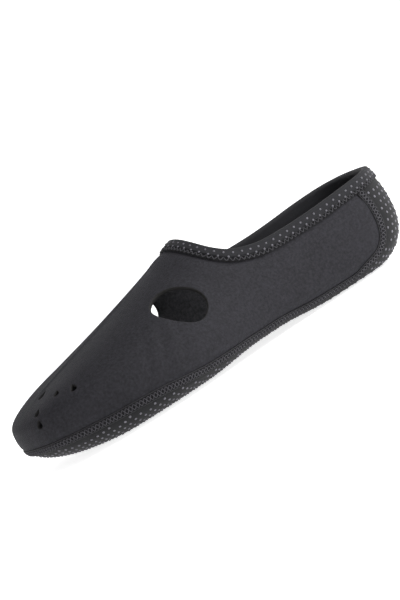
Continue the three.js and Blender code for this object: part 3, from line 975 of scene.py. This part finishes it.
class Paint:
    """The nodes of one material."""

    def __init__(self, name):
        self.material = bpy.data.materials.new(name)
        self.material.use_nodes = True
        self.tree = self.material.node_tree
        self.tree.nodes.clear()

    def node(self, kind, settings, sockets, output):
        """Adds a node: its settings come first, then its sockets' values or links."""
        node = self.tree.nodes.new(kind)
        for name, value in settings.items():
            setattr(node, name, value)
        for name, value in sockets.items():
            socket = next(s for s in node.inputs if name in (s.identifier, s.name))
            if isinstance(value, Value):
                self.tree.links.new(value.socket, socket)
            elif isinstance(value, tuple) and socket.type == "RGBA" and len(value) == 3:
                socket.default_value = (*value, 1)
            else:
                socket.default_value = value
        found = next(s for s in node.outputs if output in (s.identifier, s.name))
        return Value(self, found)

    def place(self):
        """Place on the object, in metres."""
        return self.node("ShaderNodeTexCoord", {}, {}, "Object")

    def parts(self, vector):
        """The three parts of a vector."""
        split = self.tree.nodes.new("ShaderNodeSeparateXYZ")
        self.tree.links.new(vector.socket, split.inputs[0])
        return [Value(self, socket) for socket in split.outputs]

    def noise(self, width, detail=2.0, roughness=0.5):
        """Soft noise with lumps of that width."""
        sockets = {"Vector": self.place(), "Scale": 1 / width, "Detail": detail, "Roughness": roughness}
        return self.node("ShaderNodeTexNoise", {}, sockets, "Fac")

    def sides(self, pattern):
        """A flat pattern laid on from three sides, by how the surface faces."""
        place = self.parts(self.place())
        facing = self.parts(self.node("ShaderNodeTexCoord", {}, {}, "Normal"))
        weight = [(part * part) ** 2 for part in facing]
        total = weight[0] + weight[1] + weight[2] + 0.001
        views = (pattern(place[1], place[2]), pattern(place[0], place[2]), pattern(place[0], place[1]))
        blend = views[0] * weight[0] + views[1] * weight[1] + views[2] * weight[2]
        return blend / total

    def mix(self, factor, low, high):
        """Blends two colours."""
        sockets = {"Factor_Float": factor, "A_Color": low, "B_Color": high}
        return self.node("ShaderNodeMix", {"data_type": "RGBA"}, sockets, "Result_Color")

    def bump(self, height, distance, strength=1.0, under=None):
        """A normal raised by a height between 0 and 1."""
        sockets = {"Height": height, "Distance": distance, "Strength": strength}
        if under is not None:
            sockets["Normal"] = under
        return self.node("ShaderNodeBump", {}, sockets, "Normal")

    def finish(self, **sockets):
        """Ends the material in one Principled shader with these sockets."""
        named = {name.replace("_", " "): value for name, value in sockets.items()}
        shader = self.node("ShaderNodeBsdfPrincipled", {}, named, "BSDF")
        output = self.tree.nodes.new("ShaderNodeOutputMaterial")
        self.tree.links.new(shader.socket, output.inputs["Surface"])
        return self.material


def tinted(shade, factor):
    """A colour made lighter or darker by a factor."""
    return tuple(min(1.0, part * factor) for part in shade)


def knit(wale, course):
    """A pattern of small V stitches: heights from 0 to 1."""
    def pattern(a, b):
        slant = abs((a / wale).fraction() - 0.5) * 2
        stitch = (b / course + slant * 0.5).wave()
        groove = 1 - (1 - slant) ** 4 * 0.8
        return stitch * groove
    return pattern


def weave(pitch):
    """A plain weave: threads that pass over and under each other, heights from 0 to 1."""
    def pattern(a, b):
        warp = (a / pitch).wave()
        weft = (b / pitch).wave()
        turn = ((a / pitch * 0.5).wave() - 0.5) * ((b / pitch * 0.5).wave() - 0.5) * 4
        return (warp + weft) * 0.35 + turn * 0.15 + 0.15
    return pattern


def knit_cloth(name, shade, wale, rough, grain=0.16):
    """Fine heather jersey on foam: small stitches, a faint grain, mottling and a soft sheen."""
    paint = Paint(name)
    stitches = paint.sides(knit(wale, wale * 0.8))
    heather = paint.noise(1.5 * MM, 3.0, 0.7)
    slub = paint.noise(4 * MM, 3.0, 0.6)
    cloud = paint.noise(30 * MM, 2.0)
    tone = (heather - 0.5) * 2.4 + (slub - 0.5) * 0.3 + (cloud - 0.5) * 0.4 + stitches * 0.3 + 0.35
    base = paint.mix(tone, tinted(shade, 0.55), tinted(shade, 1.5))
    under = paint.bump(heather, 2 * grain * MM)
    normal = paint.bump(stitches, 0.09 * MM, 0.8, under)
    return paint.finish(
        Base_Color=base,
        Roughness=rough + (heather - 0.5) * 0.2,
        Normal=normal,
        Sheen_Weight=0.03,
        Sheen_Roughness=0.4,
        Sheen_Tint=(0.85, 0.85, 0.95, 1.0),
        Specular_IOR_Level=0.14,
    )


def foam(name, shade):
    """Bare cellular foam at the cut edges."""
    paint = Paint(name)
    cells = paint.node(
        "ShaderNodeTexVoronoi", {}, {"Vector": paint.place(), "Scale": 1 / (0.35 * MM)}, "Distance"
    )
    pores = paint.noise(0.6 * MM, 2.0)
    base = paint.mix(cells, tinted(shade, 0.7), tinted(shade, 1.6))
    return paint.finish(
        Base_Color=base, Roughness=0.75 + pores * 0.15, Normal=paint.bump(cells, 0.12 * MM),
        Specular_IOR_Level=0.2,
    )


def woven_cloth(name, shade, pitch, rough):
    """Close woven cloth with a little wear."""
    paint = Paint(name)
    threads = paint.sides(weave(pitch))
    dust = paint.noise(9 * MM, 4.0, 0.65)
    slub = paint.noise(1.1 * MM, 2.0)
    base = paint.mix(threads * 0.4 + dust * 0.35 + slub * 0.25, tinted(shade, 0.7), tinted(shade, 1.4))
    under = paint.bump(slub, 0.1 * MM)
    return paint.finish(
        Base_Color=base,
        Roughness=rough + (dust - 0.5) * 0.2,
        Normal=paint.bump(threads, 0.12 * MM, 0.9, under),
        Sheen_Weight=0.04,
        Sheen_Roughness=0.5,
        Specular_IOR_Level=0.14,
    )


def rubber(name, shade):
    """Printed silicone dots, each a little paler or darker."""
    paint = Paint(name)
    spots = paint.noise(5 * MM, 0.0)
    grime = paint.noise(0.8 * MM, 3.0)
    base = paint.mix(spots * 0.6 + grime * 0.4, tinted(shade, 0.55), tinted(shade, 1.5))
    return paint.finish(
        Base_Color=base, Roughness=0.42 + grime * 0.15, Normal=paint.bump(grime, 0.03 * MM),
        Coat_Weight=0.15, Coat_Roughness=0.3,
    )


def thread(name, shade):
    """Twisted sewing thread."""
    paint = Paint(name)
    x, y, z = paint.parts(paint.place())
    twist = ((x + y + z) / (0.42 * MM)).wave()
    fuzz = paint.noise(0.5 * MM, 3.0)
    base = paint.mix(twist * 0.5 + fuzz * 0.5, tinted(shade, 0.6), tinted(shade, 1.5))
    return paint.finish(
        Base_Color=base, Roughness=0.6 + fuzz * 0.2, Normal=paint.bump(twist, 0.06 * MM, 0.8),
        Sheen_Weight=0.08, Sheen_Roughness=0.4, Specular_IOR_Level=0.3,
    )


def floor_paint(name, shade, glow):
    """Pale seamless paper, lit from behind a little."""
    paint = Paint(name)
    fibre = paint.noise(3 * MM, 4.0)
    base = paint.mix(fibre, tinted(shade, 0.99), tinted(shade, 1.01))
    return paint.finish(
        Base_Color=base, Roughness=0.9, Normal=paint.bump(fibre, 0.02 * MM),
        Emission_Color=(1.0, 1.0, 1.0), Emission_Strength=glow,
    )


# Pieces


@functools.lru_cache(maxsize=1)
def last_for(values):
    """The last for these sizes, worked out once."""
    return Last(SimpleNamespace(**dict(values)))


def the_last():
    """The last for the scene's sizes."""
    group = bpy.context.scene.shoe_last
    return last_for(tuple((name, getattr(group, name)) for name in LastSizes.__annotations__))


def the_shoe():
    """The last, the cloth's sizes and the colours."""
    return the_last(), bpy.context.scene.shoe_cloth, bpy.context.scene.shoe_colours


def make_piece(name, points, faces, materials, kind=None, replaced=()):
    """A closed mesh on the last as a piece of the shoe."""
    points = points + the_last().place
    a, b, c = (points[faces[:, k]] for k in range(3))
    if (a * np.cross(b, c)).sum() < 0:
        faces = faces[:, ::-1]
    mesh = bpy.data.meshes.new(name)
    mesh.vertices.add(len(points))
    mesh.vertices.foreach_set("co", points.ravel().astype(np.float32))
    mesh.loops.add(3 * len(faces))
    mesh.loops.foreach_set("vertex_index", faces.ravel().astype(np.int32))
    mesh.polygons.add(len(faces))
    mesh.polygons.foreach_set("loop_start", np.arange(0, 3 * len(faces), 3, dtype=np.int32))
    if kind is not None:
        mesh.polygons.foreach_set("material_index", kind.astype(np.int32))
    mesh.update(calc_edges=True)
    mesh.validate()
    mesh.polygons.foreach_set("use_smooth", np.ones(len(mesh.polygons), bool))
    for material in materials:
        mesh.materials.append(material)
    piece = bpy.data.objects.new(name, mesh)
    bpy.context.scene.collection.objects.link(piece)
    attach(piece, "root")
    if replaced:
        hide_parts(*replaced)
    return piece


def upper_relief(last, cloth, points):
    """How far the upper's skin stands out: it dips at its seams, swells beside them, and has a
    soft ridge on the toe box and soft flex folds at the ball."""
    seam = -last.below_seam(points)
    collar = -last.above_collar(points)
    relief = -0.45 * MM * hump(seam, 3 * MM) + 0.4 * MM * hump(seam - 8 * MM, 5 * MM)
    relief += -0.4 * MM * hump(collar - cloth.binding_width, 2.5 * MM)
    relief += 0.3 * MM * hump(collar - cloth.binding_width - 7 * MM, 4 * MM)
    at = last.share(points[:, 0])
    middle = look_up(SECTIONS, "lean", at) * last.sizes.ball_width
    top = smooth_step(points[:, 2], 20 * MM, 30 * MM)
    ridge = hump(points[:, 1] - middle, 2.2 * MM) * window(at, 0.66, 0.9, 0.06) * top
    relief += 0.55 * MM * ridge
    for place, slant, depth in ((0.655, 0.1, 0.35), (0.7, 0.14, 0.5), (0.745, 0.17, 0.35)):
        line = at - place + slant * (points[:, 2] - 30 * MM) / last.sizes.instep_height
        high = window(points[:, 2], 20 * MM, 38 * MM, 8 * MM)
        relief += -depth * MM * hump(line, 0.012) * high
    return relief


def build_upper():
    """The upper: one sheet with the oval cut-outs and the vents."""
    last, cloth, colours = the_shoe()
    cuts = [
        last.above_collar,
        lambda points: last.below_seam(points) + cloth.gap / 2,
        *last.holes(),
    ]
    skin = last.skin.without(cuts)
    skin = skin.moved(upper_relief(last, cloth, skin.points))
    points, faces, kind = wall(skin, cloth.upper_wall, cloth.edge_round, cuts)
    materials = [
        knit_cloth("neoprene", colours.neoprene, 0.62 * MM, 0.72),
        knit_cloth("lining", colours.lining, 0.7 * MM, 0.8),
        foam("cut_foam", colours.foam),
    ]
    make_piece("upper_shell", points, faces, materials, kind, ["upper"])


def sole_dot_places(last, cloth):
    """Where the sole's grip dots stand: a diagonal grid on the flat, and one on the heel panel."""
    pitch = cloth.dot_pitch
    middle = (last.heel_x + last.toe_x) / 2
    flat, heel = [], []
    rows = int(last.sizes.shoe_length / pitch) + 4
    turn = np.linspace(-1, 0.999, 2 * RIB_SAMPLES)
    for i in range(-rows, rows + 1):
        for half in (0, 0.5):
            x = middle + (i + half) * pitch
            for j in range(-16, 17):
                flat.append((x, (j + half) * pitch))
    flat = np.array(flat)
    foot = np.clip(flat[:, 0], last.heel_x, last.toe_x)
    over = flat[:, 0] - foot
    centre = look_up(SECTIONS, "lean", last.share(foot)) * last.sizes.ball_width
    away = flat[:, 1] - centre
    bearing = np.degrees(np.arctan2(away, over))
    distance = np.hypot(away, over)
    ribs = last.ribs(foot, bearing)
    fine = last.points(ribs, turn)
    found = []
    for path, run_to in zip(fine, distance):
        run = arc_lengths(path)
        spot = np.array([np.interp(run_to, run, path[:, k]) for k in range(3)])
        if run_to < run[-1]:
            found.append(spot)
    found = np.array(found)
    panel = (found[:, 0] < last.heel_x) & (found[:, 2] > 9 * MM)
    found = found[~panel]
    side_pitch = 0.6 * pitch
    reach = last.sizes.heel_fan
    for i in range(-14, 15):
        for j in range(0, 16):
            shift = 0.5 * (j % 2)
            bearing = 180 + math.degrees((i + shift) * side_pitch * 1.55 / reach)
            heel.append((bearing, 11 * MM + j * side_pitch))
    for bearing, rise in heel:
        path = last.points(last.ribs([last.heel_x], [bearing]), turn)[0]
        below = path[:, 2] < rise
        k = min(int(below.sum()), len(path) - 1)
        found = np.vstack([found, path[k]])
    return found


def build_sole():
    """The sole: a shallow boat of dotted cloth with its panel up the heel."""
    last, cloth, colours = the_shoe()
    cuts = [last.above_collar, lambda points: cloth.gap / 2 - last.below_seam(points)]
    skin = last.skin.without(cuts)
    seam = last.below_seam(skin.points)
    relief = -0.3 * MM * hump(seam, 2.5 * MM)
    skin = skin.moved(relief - cloth.dot_height)
    points, faces, kind = wall(skin, cloth.sole_wall - cloth.dot_height, cloth.edge_round, cuts)
    materials = [
        woven_cloth("sole_cloth", colours.sole_cloth, 0.55 * MM, 0.78),
        knit_cloth("sole_lining", colours.lining, 0.7 * MM, 0.8),
        foam("sole_foam", colours.foam),
    ]
    make_piece("sole_shell", points, faces, materials, kind, ["sole"])

    spots, normals = last.drop(sole_dot_places(last, cloth))
    clear = cloth.seam_width / 2 + 0.8 * cloth.dot_width
    keep = (last.below_seam(spots) > clear) & (last.above_collar(spots) < -cloth.binding_width - 1 * MM)
    spots, normals = spots[keep], normals[keep]
    points, faces = domes(spots - normals * cloth.dot_height, normals, cloth.dot_width, cloth.dot_height)
    make_piece("sole_dots", points, faces, [rubber("grip_dots", colours.dots)])


def zigzag_path(track, start, end, period, swing, phase, height, wave):
    """A thread that swings from side to side along a track, over and under its partner."""
    count = int((end - start) / period * ZIGZAG_STEPS)
    run = np.linspace(start, end, count + 1)
    turn = (run - start) / period + phase
    swing_at = swing * (2 / np.pi) * np.arcsin(0.98 * np.sin(2 * np.pi * turn)) * 1.1
    lift = height + wave * np.cos(4 * np.pi * turn + phase * 2 * np.pi)
    return track.follow(run, swing_at, lift)


def build_seam():
    """The raised flat seam: a soft tape with crossing zigzag threads and an edge thread. The tape and the
    edge threads are coloured dark as painted shade of the seam's recessed band and its edge grooves.
    """
    last, cloth, colours = the_shoe()
    open_last = last.skin.kept(-last.above_collar(last.skin.points) - cloth.binding_width)
    track = Track(last, *open_last.line_at(last.below_seam(open_last.points)), TRACK_STEP, False)
    half = cloth.seam_width / 2
    across = half * np.array([-1, -0.97, -0.8, -0.45, 0, 0.45, 0.8, 0.97, 1, 0.6, 0, -0.6])
    raise_at = cloth.seam_raise * np.array([0, 0.5, 0.9, 1, 1, 1, 0.9, 0.5, 0, 0, 0, 0])
    raise_at[[0, 8, 9, 10, 11]] = -0.35 * MM
    run = np.repeat(track.run, len(across))
    tape, _ = track.follow(run, np.tile(across, len(track.run)), np.tile(raise_at, len(track.run)))
    points, faces = sections(tape.reshape(len(track.run), len(across), 3), False)
    # The tape is coloured much darker than the thread: painted shade of the recessed stitch band between
    # the zigzag threads.
    tape_painted_shade = knit_cloth("seam_tape", tinted(colours.thread, 0.22), 0.5 * MM, 0.85, 0.2)
    make_piece("seam_tape", points, faces, [tape_painted_shade], replaced=["sole_seam"])

    bodies = []
    rest = cloth.seam_raise + 0.6 * cloth.thread
    for phase in (0, 0.5):
        path, normals = zigzag_path(
            track, 0, track.length, cloth.zigzag, 0.7 * half, phase, rest, 0.5 * cloth.thread
        )
        bodies.append(cord_body(path, normals, cloth.thread, False))
    pale = sum(len(body[1]) for body in bodies)
    for side in (-0.88, 0.88):
        path, normals = track.follow(track.run, side * half, cloth.seam_raise * 0.8)
        bodies.append(cord_body(path, normals, cloth.thread, False))
    points, faces = joined(bodies)
    kind = (np.arange(len(faces)) >= pale).astype(int)
    shade = colours.thread
    # The edge threads get a much darker copy of the thread colour: painted shade of the grooves along both
    # edges of the seam.
    materials = [thread("seam_thread", shade), thread("edge_thread_painted_shade", tinted(shade, 0.3))]
    make_piece("seam_threads", points, faces, materials, kind)


# Points of the binding's section that form the groove along its stitched lower edge; their faces are
# darkened as painted shade.
BINDING_GROOVE = (1, 2, 3, 4)


def binding_profile(cloth):
    """Section of the fold-over edge: distance below the collar's rim and height over the last."""
    outer = cloth.binding_cloth
    inner = -cloth.sole_wall - cloth.gap - cloth.binding_cloth * 0.8
    width = cloth.binding_width
    middle, half = (outer + inner) / 2, (outer - inner) / 2
    top = 1.2 * MM
    face = [
        (width, -0.1 * MM), (width + 0.15 * MM, 0.35 * outer), (width - 0.2 * MM, 0.75 * outer),
        (width - 0.9 * MM, 0.7 * outer), (width - 1.7 * MM, 0.7 * outer), (width - 2.4 * MM, 0.98 * outer),
        (0.7 * width, 1.08 * outer), (0.5 * width, 1.1 * outer), (0.3 * width, 1.06 * outer),
        (0.12 * width, outer),
    ]
    arc = [(-top * math.sin(a), middle + half * math.cos(a)) for a in np.linspace(0.15, math.pi - 0.15, 9)]
    back = [
        (0.15 * width, inner), (0.5 * width, inner), (0.85 * width, inner), (width, inner + 0.4 * MM),
        (width, -cloth.sole_wall + 0.2 * MM),
    ]
    fold = [(1 * MM, -cloth.sole_wall + 0.2 * MM), (0.5 * MM, middle), (1 * MM, -0.1 * MM)]
    return np.array(face + arc + back + fold)


def build_binding():
    """The fold-over edge round the collar, with its dots and its stitched lower edge."""
    last, cloth, colours = the_shoe()
    points, normals = last.skin.line_at(last.above_collar(last.skin.points))
    track = Track(last, points, normals, TRACK_STEP, True)
    sign = -np.sign(last.above_collar(track.points[:1] + track.sides[:1] * MM)[0])
    profile = binding_profile(cloth)
    count = len(track.run) - 1
    run = np.repeat(track.run[:-1], len(profile))
    below = np.tile(profile[:, 0], count)
    height = np.tile(profile[:, 1], count)
    side = unit(track.at(track.run, track.sides, run)) * sign
    ground, up = track.follow(run, sign * np.maximum(below, 0), 0)
    body = ground + up * height[:, None] + side * np.minimum(below, 0)[:, None]
    points, faces = sections(body.reshape(count, len(profile), 3), True)
    # The groove's faces get the binding cloth at 0.4 of its colour: painted shade in the groove.
    stitched = np.isin(np.arange(len(profile)), BINDING_GROOVE).astype(int)
    kind = np.tile(np.tile(stitched, count), 2)
    shade = colours.binding
    materials = [
        woven_cloth("binding_cloth", shade, 0.45 * MM, 0.75),
        woven_cloth("binding_groove_painted_shade", tinted(shade, 0.4), 0.45 * MM, 0.85),
    ]
    make_piece("binding_band", points, faces, materials, kind, ["collar_binding"])

    outer = cloth.binding_cloth
    number = int(track.length / cloth.binding_pitch)
    spots, faces_up = [], []
    for row, (below, lift) in enumerate(((0.27, 1.04), (0.62, 1.08))):
        run = (np.arange(number) + 0.5 * row) * track.length / number
        place, normal = track.follow(run, sign * below * cloth.binding_width, lift * outer)
        spots.append(place)
        faces_up.append(normal)
    points, faces = domes(np.vstack(spots), np.vstack(faces_up), 0.85 * cloth.dot_width, cloth.dot_height)
    dot_material = rubber("binding_dots", tinted(colours.dots, 0.7))
    make_piece("binding_dots", points, faces, [dot_material])

    stitch = 2.6 * MM
    edge = sign * (cloth.binding_width - 1.25 * MM)
    count = int(track.length / stitch) * ZIGZAG_STEPS
    run = np.arange(count) * track.length / count
    turn = np.arange(count) / ZIGZAG_STEPS
    swing = 1.15 * MM * (2 / np.pi) * np.arcsin(0.97 * np.sin(2 * np.pi * turn))
    path, normals = track.follow(run, edge + sign * swing, 0.9 * outer)
    points, faces = cord_body(path, normals, cloth.thread, True)
    thread_material = thread("binding_thread", tinted(colours.thread, 0.8))
    make_piece("binding_stitches", points, faces, [thread_material])


def build_insole():
    """The insole: a thin foam sheet that turns up a little round its edge."""
    last, cloth, colours = the_shoe()
    sizes = last.sizes

    def over_rim(points):
        spring_start = last.along(1) - sizes.spring_length
        rise = np.clip((points[:, 0] - spring_start) / sizes.spring_length, 0, 1.2)
        return points[:, 2] - cloth.insole_rim - sizes.toe_spring * rise

    skin = last.skin.kept(-over_rim(last.skin.points))
    skin = skin.moved(-cloth.sole_wall - cloth.gap)
    points, faces, kind = wall(skin, cloth.insole_wall, cloth.edge_round, [over_rim])
    materials = [
        foam("insole_foam", colours.foam),
        woven_cloth("insole_cloth", colours.insole, 0.8 * MM, 0.85),
        foam("insole_edge", colours.foam),
    ]
    make_piece("insole_sheet", points, faces, materials, kind, ["insole"])


# Stage


def aimed(thing, target, roll=0.0):
    """Turns a camera or a light to a target."""
    ahead = target - thing.location
    thing.rotation_mode = "QUATERNION"
    thing.rotation_quaternion = ahead.to_track_quat("-Z", "Y") @ Quaternion((0, 0, 1), roll)


def build_stage():
    """Floor, lights and the camera at the photograph's angle."""
    stage = bpy.context.scene.shoe_stage
    low, high = cad_box
    target = (low + high) / 2

    radius = 30.0
    sides = 64
    angle = [2 * math.pi * k / sides for k in range(sides)]
    rings = [(0.0, 0.0), (0.6, 0.0), (0.8, 0.02), (0.9, 0.08), (0.97, 0.2), (1.0, 0.4)]
    mesh = bpy.data.meshes.new("floor")
    corners = [
        (radius * r * math.cos(a), radius * r * math.sin(a), radius * h)
        for r, h in rings[1:] for a in angle
    ]
    corners.append((0, 0, 0))
    centre = len(corners) - 1
    faces = [(k, (k + 1) % sides, centre) for k in range(sides)]
    for ring in range(len(rings) - 2):
        first = ring * sides
        faces += [(first + k, first + sides + k, first + sides + (k + 1) % sides, first + (k + 1) % sides)
                  for k in range(sides)]
    mesh.from_pydata(corners, [], faces)
    mesh.materials.append(floor_paint("floor_paper", stage.floor, stage.glow))
    floor = bpy.data.objects.new("floor", mesh)
    bpy.context.scene.collection.objects.link(floor)

    world = bpy.data.worlds.new("studio")
    world.use_nodes = True
    sky = world.node_tree.nodes["Background"]
    sky.inputs["Color"].default_value = (1, 1, 1, 1)
    sky.inputs["Strength"].default_value = stage.sky
    bpy.context.scene.world = world

    data = bpy.data.cameras.new("camera")
    data.lens = stage.focal
    data.sensor_width = 36
    data.sensor_fit = "AUTO"
    distance = stage.view_height * stage.focal / data.sensor_width
    data.clip_start = 0.05
    data.clip_end = 200
    camera = bpy.data.objects.new("camera", data)
    bpy.context.scene.collection.objects.link(camera)
    flat = math.cos(stage.elevation)
    back = Vector((
        math.sin(stage.azimuth) * flat, -math.cos(stage.azimuth) * flat, math.sin(stage.elevation)
    ))
    camera.location = target + back * distance
    aimed(camera, target, stage.roll)
    bpy.context.scene.camera = camera

    heelward = Vector((-1, 0, 0))
    toward = Vector((back.x, back.y, 0)).normalized()
    up = Vector((0, 0, 1))
    for name, way, size, power in (
        ("key", heelward * 0.46 + toward * 0.3 + up * 0.34, 0.35, stage.key),
        ("top", up * 1.6 + toward * 0.2, 1.4, stage.fill),
    ):
        light = bpy.data.lights.new(name, "AREA")
        light.energy = power
        light.size = size
        lamp = bpy.data.objects.new(name, light)
        lamp.location = target + way
        bpy.context.scene.collection.objects.link(lamp)
        aimed(lamp, target)
    bpy.context.scene.view_settings.view_transform = "Standard"


# Operators and panel


class SHOE_OT_upper(Operator):
    """Build the neoprene upper with its cut-outs and vents"""

    bl_idname = "shoe.upper"
    bl_label = "Upper"

    def execute(self, context):
        build_upper()
        return {"FINISHED"}


class SHOE_OT_sole(Operator):
    """Build the sole and its grip dots"""

    bl_idname = "shoe.sole"
    bl_label = "Sole and dots"

    def execute(self, context):
        build_sole()
        return {"FINISHED"}


class SHOE_OT_seam(Operator):
    """Build the raised flat seam between upper and sole"""

    bl_idname = "shoe.seam"
    bl_label = "Flat seam"

    def execute(self, context):
        build_seam()
        return {"FINISHED"}


class SHOE_OT_binding(Operator):
    """Build the fold-over edge round the collar"""

    bl_idname = "shoe.binding"
    bl_label = "Collar binding"

    def execute(self, context):
        build_binding()
        return {"FINISHED"}


class SHOE_OT_insole(Operator):
    """Build the insole"""

    bl_idname = "shoe.insole"
    bl_label = "Insole"

    def execute(self, context):
        build_insole()
        return {"FINISHED"}


class SHOE_OT_stage(Operator):
    """Build the floor, the lights and the camera"""

    bl_idname = "shoe.stage"
    bl_label = "Stage"

    def execute(self, context):
        build_stage()
        return {"FINISHED"}


STEPS = (SHOE_OT_upper, SHOE_OT_sole, SHOE_OT_seam, SHOE_OT_binding, SHOE_OT_insole, SHOE_OT_stage)


class SHOE_PT_panel(Panel):
    """Sizes, colours and steps of the shoe"""

    bl_idname = "SHOE_PT_panel"
    bl_label = "Water Shoe"
    bl_space_type = "VIEW_3D"
    bl_region_type = "UI"
    bl_category = "Water Shoe"

    def draw(self, context):
        layout = self.layout
        for step in STEPS:
            layout.operator(step.bl_idname)
        for name, group in GROUPS.items():
            settings = getattr(context.scene, name)
            box = layout.box()
            for entry in group.__annotations__:
                box.prop(settings, entry)


GROUPS = {
    "shoe_last": LastSizes,
    "shoe_cloth": ClothSizes,
    "shoe_colours": ShoeColours,
    "shoe_stage": StageSettings,
}


def register():
    for group in (*GROUPS.values(), *STEPS, SHOE_PT_panel):
        bpy.utils.register_class(group)
    for name, group in GROUPS.items():
        setattr(bpy.types.Scene, name, PointerProperty(type=group))


def unregister():
    for name in GROUPS:
        delattr(bpy.types.Scene, name)
    for group in (SHOE_PT_panel, *STEPS[::-1], *GROUPS.values()):
        bpy.utils.unregister_class(group)


def main():
    register()
    bpy.ops.shoe.upper()
    bpy.ops.shoe.sole()
    bpy.ops.shoe.seam()
    bpy.ops.shoe.binding()
    bpy.ops.shoe.insole()
    bpy.ops.shoe.stage()


if __name__ == "__main__":
    main()
